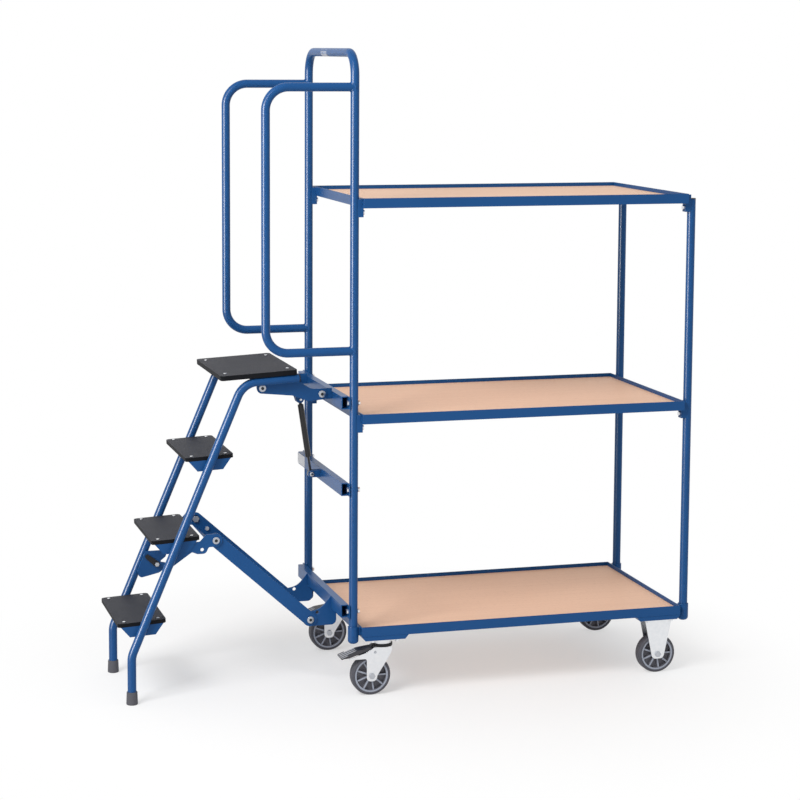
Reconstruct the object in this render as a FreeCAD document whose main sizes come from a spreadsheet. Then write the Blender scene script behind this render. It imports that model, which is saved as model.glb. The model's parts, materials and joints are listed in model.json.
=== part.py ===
import FreeCAD, Part
import math
import os
import Sketcher
from types import SimpleNamespace

# Order picking trolley: three shelves between tube posts, and a ladder that folds in on a four-bar linkage.
# Millimetres. X runs along the trolley with the ladder at -X, Y runs across it, and Z is up from the floor.
# The origin lies on the floor under the middle of the trolley's outline.

doc = FreeCAD.newDocument("order_picking_trolley")
sheet = doc.addObject("Spreadsheet::Sheet", "Sizes")

# Driving dimensions

SIZES = (
    # Tube frame; spacings are between post axes, heights are from the floor
    ("tube_diameter", 26.9),
    ("tube_wall", 2),
    ("bend_radius", 70),
    ("post_spacing_x", 1108),
    ("post_spacing_y", 575),
    ("handle_height", 1993),
    ("right_post_top", 1537),
    ("cap_thickness", 3),
    ("plug_length", 14),
    ("weld_gap", 0.1),
    ("guard_reach", 276.5),
    ("guard_top", 1890),
    ("guard_bottom", 1087),
    # Sockets that take the posts at the deck's corners
    ("socket_diameter", 33.7),
    ("socket_depth", 54),
    ("socket_floor", 4),
    ("socket_round", 11),
    ("socket_clearance", 0.2),
    # Deck and shelves; a height is that of the rail's top edge
    ("deck_height", 225),
    ("middle_height", 893),
    ("top_height", 1555),
    ("rail_height", 30),
    ("rail_leg", 30),
    ("rail_wall", 3),
    ("panel_thickness", 15),
    ("panel_clearance", 0.5),
    ("shelf_overhang", 29.5),
    ("shelf_inset", 21.4),
    ("bracket_width", 24),
    ("bracket_top_gap", 3),
    ("tab_drop", 28),
    ("tab_thickness", 4),
    # Beams under the deck that carry the casters
    ("beam_width", 150),
    ("beam_depth", 13),
    ("beam_slope", 11),
    ("beam_wall", 3),
    # Crossbars on the left posts; a height is that of the top face, the lower one's is above the deck
    ("crossbar_height", 40),
    ("crossbar_depth", 23.5),
    ("crossbar_wall", 3),
    ("crossbar_length", 558),
    ("crossbar_tab", 12),
    ("upper_crossbar_top", 946),
    ("middle_crossbar_top", 676),
    ("lower_crossbar_rise", 68),
    # Bolts
    ("bolt_radius", 4),
    ("bolt_clearance", 0.05),
    ("bolt_head_across", 13),
    ("bolt_head_height", 5.5),
    ("pivot_radius", 6),
    ("pivot_head_radius", 11),
    ("pivot_head_height", 5),
    ("pivot_nut_height", 6),
    ("layer_gap", 0.5),
    # Casters; what the stack of fork, plate and deck leaves of the deck's height is the wheel
    ("fork_clearance", 21),
    ("tyre_width", 37),
    ("tyre_depth", 9),
    ("tyre_round", 7),
    ("rim_depth", 5.5),
    ("rim_width", 34),
    ("boss_radius", 14),
    ("boss_width", 43),
    ("boss_round", 2),
    ("web_thickness", 4),
    ("spoke_count", 9),
    ("spoke_width", 5),
    ("spoke_height", 26),
    ("axle_radius", 5),
    ("axle_nut_across", 17),
    ("fork_gap", 44),
    ("fork_wall", 3),
    ("fork_end_radius", 17),
    ("fork_crown_front", 26),
    ("fork_crown_back", 30),
    ("fork_crown_round", 3),
    ("fork_shoulder_drop", 8),
    ("fork_shoulder_round", 10),
    ("fork_waist_reach", 7),
    ("fork_waist_rise", 43.5),
    ("fork_waist_round", 30),
    ("wing_reach", 112),
    ("wing_lap", 7),
    ("wing_tip", 3),
    ("wing_root", 56),
    ("wing_round", 6),
    ("housing_top_width", 92),
    ("housing_end_width", 38),
    ("housing_end_radius", 15),
    ("caster_plate_length", 105),
    ("caster_plate_width", 85),
    ("caster_plate_thickness", 4),
    ("caster_bolt_spacing_x", 80),
    ("caster_bolt_spacing_y", 66),
    ("caster_spacing_y", 530),
    ("swivel_from_post", 99),
    ("swivel_offset", 38),
    ("swivel_radius", 30),
    ("swivel_cup_height", 24),
    ("crown_height", 7.5),
    ("king_pin_radius", 6),
    ("king_nut_height", 8),
    ("fixed_from_post", 86),
    # Brake pedal; leads, rises and drops are from its pin
    ("pedal_side_gap", 1),
    ("pedal_pin_radius", 4),
    ("pedal_pin_stub", 2),
    ("pedal_pin_lead", 28),
    ("pedal_pin_drop", 8),
    ("pedal_root", 8),
    ("pedal_root_rise", 5),
    ("pedal_neck_lead", 6),
    ("pedal_crest_lead", 10),
    ("pedal_crest_rise", 13.5),
    ("pedal_bow_lead", 52),
    ("pedal_bow_rise", 8),
    ("pedal_bow_round", 60),
    ("pedal_reach", 108),
    ("pedal_tip_drop", 12),
    ("pedal_tip_thickness", 5),
    ("pedal_tip_width", 54),
    ("pedal_tip_length", 20),
    ("pedal_toe_lead", 82),
    ("pedal_toe_drop", 15),
    ("pedal_heel_lead", 29),
    ("pedal_heel_rise", 3),
    ("brake_shoe_length", 14),
    ("brake_shoe_width", 26),
    ("brake_shoe_height", 16),
    ("brake_shoe_lead", 34),
    ("brake_gap", 4),
    # Ladder; reach is from the left posts to the foot, heights are of tread tops
    ("foot_reach", 674.5),
    ("knee_height", 150),
    ("first_tread_height", 254),
    ("tread_pitch", 253),
    ("tread_run", 106.5),
    ("tread_lead", 8),
    ("tread_width", 340),
    ("tread_depth", 150),
    ("tread_thickness", 12),
    ("tread_round", 12),
    ("tread_tilt", 3),
    ("platform_width", 393),
    ("platform_depth", 241),
    ("platform_thickness", 15),
    ("platform_lead", 49.5),
    ("top_run", 175),
    ("holder_wall", 3),
    ("holder_depth", 132),
    ("holder_foot", 80),
    ("holder_drop", 33),
    ("screw_radius", 2.5),
    ("screw_head_radius", 5),
    ("screw_head_height", 1.8),
    ("screw_inset_x", 22),
    ("screw_inset_y", 20),
    ("foot_radius", 18),
    ("foot_top_radius", 16.5),
    ("foot_height", 40),
    ("foot_sole", 8),
    # Linkage; plates are stacked inwards from the ladder's rails
    ("ladder_plate_wall", 5),
    ("link_wall", 4),
    ("lug_wall", 5),
    ("link_end_radius", 17),
    ("link_tail_radius", 16),
    ("link_pivot_reach", 70.4),
    ("link_pivot_drop", 7.5),
    ("platform_pivot_lead", 12.5),
    ("platform_pivot_drop", 37.5),
    ("brace_pivot_lead", 125),
    ("brace_pivot_drop", 1),
    ("brace_foot_reach", 105.4),
    ("brace_foot_drop", 71.5),
    ("brace_depth", 42),
    ("brace_web_wall", 3),
    ("brace_web_start", 200),
    ("brace_web_lap", 4),
    ("brace_stop_lead", 49),
    ("open_pivot_play", 7.2),
    ("bracket_end_radius", 22),
    # Gas spring and latch
    ("strut_eye_lead", 30.2),
    ("strut_eye_drop", 40.5),
    ("strut_foot_reach", 64),
    ("strut_eye_radius", 11),
    ("strut_foot_radius", 11),
    ("strut_eye_width", 12),
    ("strut_play", 4.4),
    ("strut_lug_gap", 14),
    ("cylinder_radius", 9.5),
    ("cylinder_bore", 7.5),
    ("cylinder_bottom", 56),
    ("cylinder_neck", 18),
    ("gland_length", 8),
    ("piston_rod_radius", 4),
    ("piston_length", 10),
    ("piston_height", 160),
    ("cross_tube_lead", 50),
    ("cross_tube_rise", 6),
    ("latch_height", 353),
    ("latch_inset", 54),
    ("latch_length", 46),
    ("latch_radius", 10),
    ("latch_thickness", 6),
    ("latch_angle", 140),
)


class Size:
    """A size that knows its value and the sheet expression that gives it."""

    def __init__(self, value, text):
        self.value = float(value)
        self.text = text

    def __add__(self, other):
        other = sized(other)
        return Size(self.value + other.value, f"({self.text} + {other.text})")

    def __sub__(self, other):
        other = sized(other)
        return Size(self.value - other.value, f"({self.text} - {other.text})")

    def __mul__(self, other):
        other = sized(other)
        return Size(self.value * other.value, f"({self.text} * {other.text})")

    def __truediv__(self, other):
        other = sized(other)
        return Size(self.value / other.value, f"({self.text} / {other.text})")

    def __neg__(self):
        return self * -1

    def __radd__(self, other):
        return sized(other) + self

    def __rsub__(self, other):
        return sized(other) - self

    def __rmul__(self, other):
        return sized(other) * self


def sized(number):
    return number if isinstance(number, Size) else Size(number, f"({float(number)})")


def sine(angle):
    return Size(math.sin(math.radians(angle.value)), f"sin({angle.text})")


def cosine(angle):
    return Size(math.cos(math.radians(angle.value)), f"cos({angle.text})")


def distance(du, dv):
    return Size(math.hypot(du.value, dv.value), f"sqrt({du.text} * {du.text} + {dv.text} * {dv.text})")


def angle_of(rise, run):
    return Size(math.degrees(math.atan2(rise.value, run.value)), f"atan2({rise.text}; {run.text})")


def fill_sheet():
    named = {}
    for row, (alias, value) in enumerate(SIZES, start=1):
        sheet.set(f"A{row}", alias.replace("_", " "))
        sheet.set(f"B{row}", str(value))
        sheet.setAlias(f"B{row}", alias)
        named[alias] = Size(value, f"Sizes.{alias}")
    doc.recompute()
    return SimpleNamespace(**named)


d = fill_sheet()
nodes = []

# Placing and binding

ALONG = {"X": ("0; 1; 0", 90), "Y": ("1; 0; 0", -90), "Z": ("0; 0; 1", 0)}


def bind(thing, prop, size):
    thing.setExpression(prop, sized(size).text)


def place(thing, x=0, y=0, z=0, axis="0; 0; 1", angle=0):
    where = "; ".join(sized(v).text for v in (x, y, z))
    turn = f"rotation(vector({axis}); {sized(angle).text})"
    thing.setExpression("Placement", f"placement(vector({where}); {turn})")
    return thing


def node(label, thing):
    thing.Label = label
    nodes.append(thing)
    return thing


# Part primitives and booleans


def block(length, width, height, x=0, y=0, z=0):
    thing = doc.addObject("Part::Box", "Block")
    bind(thing, "Length", length)
    bind(thing, "Width", width)
    bind(thing, "Height", height)
    return place(thing, x, y, z)


def rod(radius, length, x=0, y=0, z=0, along="Z"):
    thing = doc.addObject("Part::Cylinder", "Rod")
    bind(thing, "Radius", radius)
    bind(thing, "Height", length)
    return place(thing, x, y, z, *ALONG[along])


def hexagon(across, length, x=0, y=0, z=0, along="Z"):
    thing = doc.addObject("Part::Prism", "Hexagon")
    thing.Polygon = 6
    bind(thing, "Circumradius", sized(across) / math.sqrt(3))
    bind(thing, "Height", length)
    return place(thing, x, y, z, *ALONG[along])


def fuse(*members):
    thing = doc.addObject("Part::MultiFuse", "Fuse")
    thing.Shapes = list(members)
    return thing


def cut(base, *tools):
    thing = doc.addObject("Part::Cut", "Cut")
    thing.Base = base
    thing.Tool = tools[0] if len(tools) == 1 else fuse(*tools)
    return thing


def group(*members):
    thing = doc.addObject("Part::Compound", "Group")
    thing.Links = list(members)
    return thing


# Sketches


def new_sketch(body, role, lift=None):
    sketch = body.newObject("Sketcher::SketchObject", "Sketch")
    plane = next(feature for feature in body.Origin.OriginFeatures if feature.Role == role)
    sketch.AttachmentSupport = [(plane, "")]
    sketch.MapMode = "FlatFace"
    if lift is not None:
        bind(sketch, "AttachmentOffset.Base.z", lift)
    return sketch


class Rules:
    """Collects a sketch's constraints, adds them in one go and binds the ones that hold a size."""

    def __init__(self, sketch):
        self.sketch = sketch
        self.rows = []

    def add(self, *parts, size=None):
        values = parts if size is None else parts + (size.value,)
        self.rows.append((Sketcher.Constraint(*values), size))

    def fix(self, geometry, end, u, v):
        self.add("DistanceX", -1, 1, geometry, end, size=sized(u))
        self.add("DistanceY", -1, 1, geometry, end, size=sized(v))

    def close(self):
        first = self.sketch.ConstraintCount
        self.sketch.addConstraint([row[0] for row in self.rows])
        for index, (_, size) in enumerate(self.rows, start=first):
            if size is not None:
                bind(self.sketch, f"Constraints[{index}]", size)


def draw_circle(sketch, u, v, radius):
    u, v, radius = sized(u), sized(v), sized(radius)
    circle = Part.Circle(FreeCAD.Vector(u.value, v.value, 0), FreeCAD.Vector(0, 0, 1), radius.value)
    index = sketch.addGeometry(circle, False)
    rules = Rules(sketch)
    rules.fix(index, 3, u, v)
    rules.add("Radius", index, size=radius)
    rules.close()


def corner_arc(before, corner, after, radius):
    """The arc that rounds a corner: its geometry, where it meets both sides, and if it turns left."""
    back = (before - corner).normalize()
    ahead = (after - corner).normalize()
    half = back.getAngle(ahead) / 2
    trim = radius / math.tan(half)
    centre = corner + (back + ahead).normalize() * (radius / math.sin(half))
    enter, leave = corner + back * trim, corner + ahead * trim
    left = back.cross(ahead).z < 0
    first, last = (enter, leave) if left else (leave, enter)
    turn = [math.atan2((p - centre).y, (p - centre).x) for p in (first, last)]
    arc = Part.ArcOfCircle(Part.Circle(centre, FreeCAD.Vector(0, 0, 1), radius), turn[0], turn[1])
    return arc, enter, leave, left


def draw_outline(sketch, corners, closed=True):
    """Straight sides through corners (u, v) or (u, v, radius); a radius makes a tangent arc."""
    points = [(sized(c[0]), sized(c[1])) for c in corners]
    radii = [sized(c[2]) if len(c) > 2 else None for c in corners]
    spots = [FreeCAD.Vector(u.value, v.value, 0) for u, v in points]
    count = len(corners)
    enter, leave, arcs = list(spots), list(spots), {}
    for i, radius in enumerate(radii):
        if radius is not None:
            after = spots[(i + 1) % count]
            arc, enter[i], leave[i], left = corner_arc(spots[i - 1], spots[i], after, radius.value)
            arcs[i] = (arc, left)
    sides = range(count if closed else count - 1)
    lines = [sketch.addGeometry(Part.LineSegment(leave[i], enter[(i + 1) % count]), False) for i in sides]
    rules = Rules(sketch)
    for i, (u, v) in enumerate(points):
        if not closed and i == 0:
            rules.fix(lines[0], 1, u, v)
        elif not closed and i == count - 1:
            rules.fix(lines[-1], 2, u, v)
        elif i not in arcs:
            rules.add("Coincident", lines[i - 1], 2, lines[i], 1)
            rules.fix(lines[i], 1, u, v)
        else:
            arc, left = arcs[i]
            bend = sketch.addGeometry(arc, False)
            spot = sketch.addGeometry(Part.Point(spots[i]), True)
            start, stop = (1, 2) if left else (2, 1)
            rules.add("Tangent", lines[i - 1], 2, bend, start)
            rules.add("Tangent", bend, stop, lines[i], 1)
            rules.add("Radius", bend, size=radii[i])
            rules.fix(spot, 1, u, v)
            rules.add("PointOnObject", spot, 1, lines[i - 1])
            rules.add("PointOnObject", spot, 1, lines[i])
    rules.close()


# PartDesign features


def new_body(name):
    return doc.addObject("PartDesign::Body", name)


def pad(body, sketch, length, symmetric=True):
    feature = body.newObject("PartDesign::Pad", "Pad")
    feature.Profile = sketch
    bind(feature, "Length", length)
    if symmetric:
        feature.SideType = "Symmetric"
    sketch.Visibility = False
    return feature


def pocket(body, sketch, length=None):
    """A cut to both sides of the sketch, right through unless it has a length."""
    feature = body.newObject("PartDesign::Pocket", "Pocket")
    feature.Profile = sketch
    feature.SideType = "Symmetric"
    if length is None:
        feature.Type = "ThroughAll"
    else:
        bind(feature, "Length", length)
    return feature


def plate(name, corners, thickness, holes=(), role="XZ_Plane"):
    """A flat plate, centred on its plane, with round holes given as (u, v, radius)."""
    body = new_body(name)
    sketch = new_sketch(body, role)
    draw_outline(sketch, corners)
    for hole in holes:
        draw_circle(sketch, *hole)
    pad(body, sketch, thickness)
    return body


def turned(name, corners):
    """A turned piece: an outline of (radius, height) spun about Z."""
    body = new_body(name)
    sketch = new_sketch(body, "XZ_Plane")
    draw_outline(sketch, corners)
    feature = body.newObject("PartDesign::Revolution", "Revolution")
    feature.Profile = sketch
    feature.ReferenceAxis = (sketch, ["V_Axis"])
    feature.Angle = 360
    return body


def bent_tube(name, role, corners, start_role, start_u, start_v, start_lift):
    """A round tube along straight runs with equal bends, drawn in one plane."""
    body = new_body(name)
    path = new_sketch(body, role)
    runs = [corners[0]] + [(u, v, d.bend_radius) for u, v in corners[1:-1]] + [corners[-1]]
    draw_outline(path, runs, closed=False)
    section = new_sketch(body, start_role, start_lift)
    draw_circle(section, start_u, start_v, d.tube_diameter / 2)
    draw_circle(section, start_u, start_v, d.tube_diameter / 2 - d.tube_wall)
    doc.recompute()
    feature = body.newObject("PartDesign::AdditivePipe", "Pipe")
    feature.Profile = section
    feature.Spine = (path, [f"Edge{i + 1}" for i in range(len(path.Shape.Edges))])
    doc.recompute()
    return body


# Places that several pieces share

tube_radius = d.tube_diameter / 2
socket_radius = d.socket_diameter / 2
slope = d.tread_run / d.tread_pitch
rise = sine(d.tread_tilt)
level = cosine(d.tread_tilt)
tread_front = d.tread_lead + d.tread_depth / 2 * level + d.tread_thickness * rise
ladder_reach = d.foot_reach - (d.first_tread_height - d.knee_height) * slope + tread_front
left_x = (ladder_reach - d.post_spacing_x - socket_radius) / 2
right_x = left_x + d.post_spacing_x
post_y = d.post_spacing_y / 2
shelf_left = left_x + d.shelf_inset
shelf_length = d.post_spacing_x - d.shelf_inset * 2
shelf_side = post_y + d.shelf_overhang
SIDES = (("front", -1), ("back", 1))
socket_bottom = d.deck_height - d.socket_depth
post_bottom = socket_bottom + d.socket_floor
crossbar_face = left_x - tube_radius - d.crossbar_depth
lower_crossbar_top = d.deck_height + d.lower_crossbar_rise
crossbar_tops = (d.upper_crossbar_top, d.middle_crossbar_top, lower_crossbar_top)
bolt_hole = d.bolt_radius + d.bolt_clearance
pivot_hole = d.pivot_radius + d.bolt_clearance

# Left posts and push bar: one bent tube, drilled for the crossbars' bolts

hoop_path = [(-post_y, post_bottom), (-post_y, d.handle_height),
             (post_y, d.handle_height), (post_y, post_bottom)]
hoop = bent_tube("HandleHoop", "YZ_Plane", hoop_path, "XY_Plane", 0, -post_y, post_bottom)
drilling = new_sketch(hoop, "YZ_Plane")
for top in crossbar_tops:
    for _, side in SIDES:
        draw_circle(drilling, post_y * side, top - d.crossbar_height / 2, bolt_hole)
pocket(hoop, drilling)
node("handle_hoop", place(hoop, left_x))

# Right posts with flat caps

right_posts = []
caps = []
for _, side in SIDES:
    height = d.right_post_top - post_bottom
    outside = rod(tube_radius, height, right_x, post_y * side, post_bottom)
    inside = rod(tube_radius - d.tube_wall, height, right_x, post_y * side, post_bottom)
    right_posts.append(cut(outside, inside))
    spigot = tube_radius - d.tube_wall - d.weld_gap
    stem = rod(spigot, d.plug_length, right_x, post_y * side, d.right_post_top - d.plug_length)
    caps.append(fuse(stem, rod(tube_radius, d.cap_thickness, right_x, post_y * side, d.right_post_top)))
node("right_posts", group(*right_posts))
node("right_post_caps", group(*caps))

# Guard rails: U-shaped tubes cut to fit the left posts

for name, side in SIDES:
    guard_path = [(0, d.guard_top), (-d.guard_reach, d.guard_top), (-d.guard_reach, d.guard_bottom),
                  (0, d.guard_bottom)]
    guard = bent_tube("GuardRail", "XZ_Plane", guard_path, "YZ_Plane", 0, d.guard_top, sized(0))
    saddle = new_sketch(guard, "XY_Plane")
    draw_circle(saddle, 0, 0, tube_radius + d.weld_gap)
    pocket(guard, saddle)
    node(f"guard_rail_{name}", place(guard, left_x, post_y * side))

# Sockets: cups at the deck's corners, each welded to the deck's end rail by a short bar

bore = tube_radius + d.socket_clearance
sockets = []
for end_x, inward in ((left_x, 1), (right_x, -1)):
    for _, side in SIDES:
        cup = turned("Socket", [(0, 0), (socket_radius, 0, d.socket_round), (socket_radius, d.socket_depth),
                                (bore, d.socket_depth), (bore, d.socket_floor), (0, d.socket_floor)])
        place(cup, end_x, post_y * side, socket_bottom)
        overlap = (socket_radius - bore) / 2
        near = socket_radius - overlap
        bar_length = d.shelf_inset - near
        bar_x = end_x + near if inward > 0 else end_x - d.shelf_inset
        bar = block(bar_length, d.bracket_width - 6, d.rail_height - 4, bar_x,
                    post_y * side - (d.bracket_width - 6) / 2, d.deck_height - d.rail_height + 2)
        sockets.append(fuse(cup, bar))
node("post_sockets", group(*sockets))

# Deck and shelves: frames of angle steel with a wood panel laid in


def angle_rails(top, tabs):
    """Four angle rails round a panel; end rails carry tabs that bolt to the posts."""
    floor = top - d.rail_height
    rails = []
    for _, side in SIDES:
        wall_y = -shelf_side if side < 0 else shelf_side - d.rail_wall
        leg_y = -shelf_side if side < 0 else shelf_side - d.rail_leg
        rails.append(fuse(block(shelf_length, d.rail_wall, d.rail_height, shelf_left, wall_y, floor),
                          block(shelf_length, d.rail_leg, d.rail_wall, shelf_left, leg_y, floor)))
    for end, inward in ((shelf_left, 1), (shelf_left + shelf_length, -1)):
        wall_x = end if inward > 0 else end - d.rail_wall
        leg_x = end if inward > 0 else end - d.rail_leg
        wall_length = (shelf_side - d.rail_wall) * 2
        leg_length = (shelf_side - d.rail_leg) * 2
        pieces = [block(d.rail_wall, wall_length, d.rail_height, wall_x, -wall_length / 2, floor),
                  block(d.rail_leg, leg_length, d.rail_wall, leg_x, -leg_length / 2, floor)]
        holes = []
        if tabs:
            tab_x = end if inward > 0 else end - d.tab_thickness
            bolt_z = floor - d.tab_drop / 2
            for _, side in SIDES:
                tab_y = post_y * side - d.bracket_width / 2
                pieces.append(block(d.tab_thickness, d.bracket_width, d.tab_drop + d.rail_wall, tab_x, tab_y,
                                    floor - d.tab_drop))
                holes.append(rod(bolt_hole, d.tab_thickness, tab_x, post_y * side, bolt_z, "X"))
        rails.append(cut(fuse(*pieces), *holes) if tabs else fuse(*pieces))
    return group(*rails)


def wood_panel(top):
    edge = d.rail_wall + d.panel_clearance
    width = (shelf_side - edge) * 2
    return block(shelf_length - edge * 2, width, d.panel_thickness, shelf_left + edge, -width / 2,
                 top - d.rail_height + d.rail_wall)


shelf_tops = (("middle_shelf", d.middle_height), ("top_shelf", d.top_height))
node("deck_frame", angle_rails(d.deck_height, tabs=False))
node("deck_panel", wood_panel(d.deck_height))
for name, top in shelf_tops:
    node(f"{name}_frame", angle_rails(top, tabs=True))
    node(f"{name}_panel", wood_panel(top))

# Shelf brackets on the posts, and every bolt of the frame


def hex_bolt(length, x, y, z, facing):
    """A hex bolt along X: the head sits at x and faces that way, the shank runs the other way."""
    head_x = x if facing > 0 else x - d.bolt_head_height
    shank_x = x - length if facing > 0 else x
    return fuse(hexagon(d.bolt_head_across, d.bolt_head_height, head_x, y, z, "X"),
                rod(d.bolt_radius, length, shank_x, y, z, "X"))


brackets = []
frame_bolts = []
for _, top in shelf_tops:
    bracket_bottom = top - d.rail_height - d.tab_drop
    bracket_height = d.rail_height + d.tab_drop - d.bracket_top_gap
    bolt_z = top - d.rail_height - d.tab_drop / 2
    for post_x, inward in ((left_x, 1), (right_x, -1)):
        for _, side in SIDES:
            bracket_x = post_x if inward > 0 else post_x - d.shelf_inset
            bracket = block(d.shelf_inset, d.bracket_width, bracket_height, bracket_x,
                            post_y * side - d.bracket_width / 2, bracket_bottom)
            post_cut = rod(tube_radius + d.weld_gap, bracket_height, post_x, post_y * side, bracket_bottom)
            bolt_cut = rod(bolt_hole, d.shelf_inset, bracket_x, post_y * side, bolt_z, "X")
            brackets.append(cut(bracket, post_cut, bolt_cut))
            seat = post_x + (d.shelf_inset + d.tab_thickness) * inward
            length = d.shelf_inset + d.tab_thickness - tube_radius - d.weld_gap * 4
            frame_bolts.append(hex_bolt(length, seat, post_y * side, bolt_z, inward))
node("shelf_brackets", group(*brackets))

# Crossbars: rectangular tube whose inner wall runs on as tabs that bolt to the left posts

for name, top in (("upper", d.upper_crossbar_top), ("middle", d.middle_crossbar_top),
                  ("lower", lower_crossbar_top)):
    low = top - d.crossbar_height
    outside = block(d.crossbar_depth, d.crossbar_length, d.crossbar_height, crossbar_face,
                    -d.crossbar_length / 2, low)
    walls = d.crossbar_wall * 2
    inside = block(d.crossbar_depth - walls, d.crossbar_length, d.crossbar_height - walls,
                   crossbar_face + d.crossbar_wall, -d.crossbar_length / 2, low + d.crossbar_wall)
    tab_half = post_y + d.crossbar_tab
    wall_x = left_x - tube_radius - d.crossbar_wall
    tab = block(d.crossbar_wall, tab_half * 2, d.crossbar_height, wall_x, -tab_half, low)
    holes = []
    for _, side in SIDES:
        bolt_y = post_y * side
        bolt_z = top - d.crossbar_height / 2
        holes.append(rod(bolt_hole, d.crossbar_wall, wall_x, bolt_y, bolt_z, "X"))
        shank = d.crossbar_wall + d.tube_diameter + d.bolt_head_height
        bolt = hex_bolt(shank, wall_x, bolt_y, bolt_z, -1)
        nut = cut(hexagon(d.bolt_head_across, d.bolt_head_height, left_x + tube_radius, bolt_y, bolt_z, "X"),
                  rod(bolt_hole, d.bolt_head_height, left_x + tube_radius, bolt_y, bolt_z, "X"))
        frame_bolts.extend((bolt, nut))
    node(f"{name}_crossbar", cut(fuse(cut(outside, inside), tab), *holes))
node("frame_bolts", group(*frame_bolts))

# Caster beams: shallow sheet trays across the deck's underside

beam_top = d.deck_height - d.rail_height
beam_floor = beam_top - d.beam_depth
beam_length = shelf_side * 2
caster_y = d.caster_spacing_y / 2
swivel_x = left_x + d.swivel_from_post
fixed_x = right_x - d.fixed_from_post
half_bolts_x = d.caster_bolt_spacing_x / 2
half_bolts_y = d.caster_bolt_spacing_y / 2
CORNERS = ((-1, -1), (-1, 1), (1, -1), (1, 1))


def caster_beam(inner_end, caster_x):
    """A tray below the deck, sloped at both long sides, drilled for its two casters."""
    body = new_body("CasterBeam")
    half = d.beam_width / 2
    sketch = new_sketch(body, "XZ_Plane")
    draw_outline(sketch, [(-half, beam_top), (half, beam_top), (half - d.beam_slope, beam_floor),
                          (-half + d.beam_slope, beam_floor)])
    pad(body, sketch, beam_length)
    hollow = new_sketch(body, "XY_Plane", beam_top)
    wide = half - d.beam_slope - d.beam_wall
    far = shelf_side - d.beam_wall
    draw_outline(hollow, [(-wide, -far), (wide, -far), (wide, far), (-wide, far)])
    pocket(body, hollow, (d.beam_depth - d.beam_wall) * 2)
    drilled = new_sketch(body, "XY_Plane", beam_top)
    for _, side in SIDES:
        for step_x, step_y in CORNERS:
            draw_circle(drilled, caster_x - inner_end + half_bolts_x * step_x,
                        caster_y * side + half_bolts_y * step_y, bolt_hole)
    pocket(body, drilled)
    return place(body, inner_end)


left_beam_x = shelf_left + d.beam_width / 2
right_beam_x = shelf_left + shelf_length - d.beam_width / 2
node("caster_beams", group(caster_beam(left_beam_x, swivel_x), caster_beam(right_beam_x, fixed_x)))

# Caster plates, housings and bolts

plate_floor = beam_floor - d.caster_plate_thickness
cup_floor = plate_floor - d.swivel_cup_height
crown_top = cup_floor - d.layer_gap
crown_floor = crown_top - d.crown_height
king_nut_top = crown_floor - d.layer_gap
wheel_diameter = crown_floor - d.fork_clearance
wheel_radius = wheel_diameter / 2
axle_hole = d.axle_radius + d.bolt_clearance
leg_y = d.fork_gap / 2 + d.fork_wall / 2


def caster_plate(x, y):
    """A flat top plate with its four bolt holes."""
    sheet_plate = block(d.caster_plate_length, d.caster_plate_width, d.caster_plate_thickness,
                        x - d.caster_plate_length / 2, y - d.caster_plate_width / 2, plate_floor)
    places = [(x + half_bolts_x * i, y + half_bolts_y * j) for i, j in CORNERS]
    holes = [rod(bolt_hole, d.caster_plate_thickness, *place_xy, plate_floor) for place_xy in places]
    return cut(sheet_plate, *holes)


def caster_bolts(x, y):
    """Four bolts through the plate into the beam."""
    bolts = []
    for i, j in CORNERS:
        bolt_x = x + half_bolts_x * i
        bolt_y = y + half_bolts_y * j
        head_z = plate_floor - d.bolt_head_height
        head = hexagon(d.bolt_head_across, d.bolt_head_height, bolt_x, bolt_y, head_z)
        shank_length = d.caster_plate_thickness + d.beam_wall + d.bolt_head_height
        bolts.append(fuse(head, rod(d.bolt_radius, shank_length, bolt_x, bolt_y, plate_floor)))
    return bolts


swivel_plates = []
all_caster_bolts = []
housings = []
fixed_axles = []


def axle(x, y):
    """Axle bolt with a head and a nut outside the two legs."""
    half = d.fork_gap / 2 + d.fork_wall
    shank = rod(d.axle_radius, half * 2, x, y - half, wheel_radius, "Y")
    tall = d.bolt_head_height
    head = hexagon(d.axle_nut_across, tall, x, y - half - tall, wheel_radius, "Y")
    nut = hexagon(d.axle_nut_across, tall, x, y + half, wheel_radius, "Y")
    return fuse(shank, head, nut)


half_top = d.housing_top_width / 2
half_end = d.housing_end_width / 2
housing_end = wheel_radius - d.housing_end_radius
housing_shape = [(-half_top, plate_floor), (-half_end, housing_end, d.housing_end_radius),
                 (half_end, housing_end, d.housing_end_radius), (half_top, plate_floor)]
for name, side in SIDES:
    y = caster_y * side
    pin = rod(d.king_pin_radius, plate_floor - king_nut_top + d.king_nut_height, swivel_x, y,
              king_nut_top - d.king_nut_height)
    nut = hexagon(d.king_pin_radius * 3.2, d.king_nut_height, swivel_x, y, king_nut_top - d.king_nut_height)
    cup = rod(d.swivel_radius, d.swivel_cup_height, swivel_x, y, cup_floor)
    swivel_plates.append(fuse(caster_plate(swivel_x, y), cup, pin, nut))
    all_caster_bolts.extend(caster_bolts(swivel_x, y))
    all_caster_bolts.extend(caster_bolts(fixed_x, y))
    legs = [plate("FixedLeg", housing_shape, d.fork_wall, [(0, wheel_radius, axle_hole)]) for _ in SIDES]
    for leg, (_, leg_side) in zip(legs, SIDES):
        place(leg, fixed_x, y + leg_y * leg_side)
    housings.append(fuse(caster_plate(fixed_x, y), *legs))
    fixed_axles.append(axle(fixed_x, y))
node("swivel_plates", group(*swivel_plates))
node("fixed_housings", group(*housings))
node("fixed_axles", group(*fixed_axles))
node("caster_bolts", group(*all_caster_bolts))

# Swivel forks, their axles and brake pedals

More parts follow.
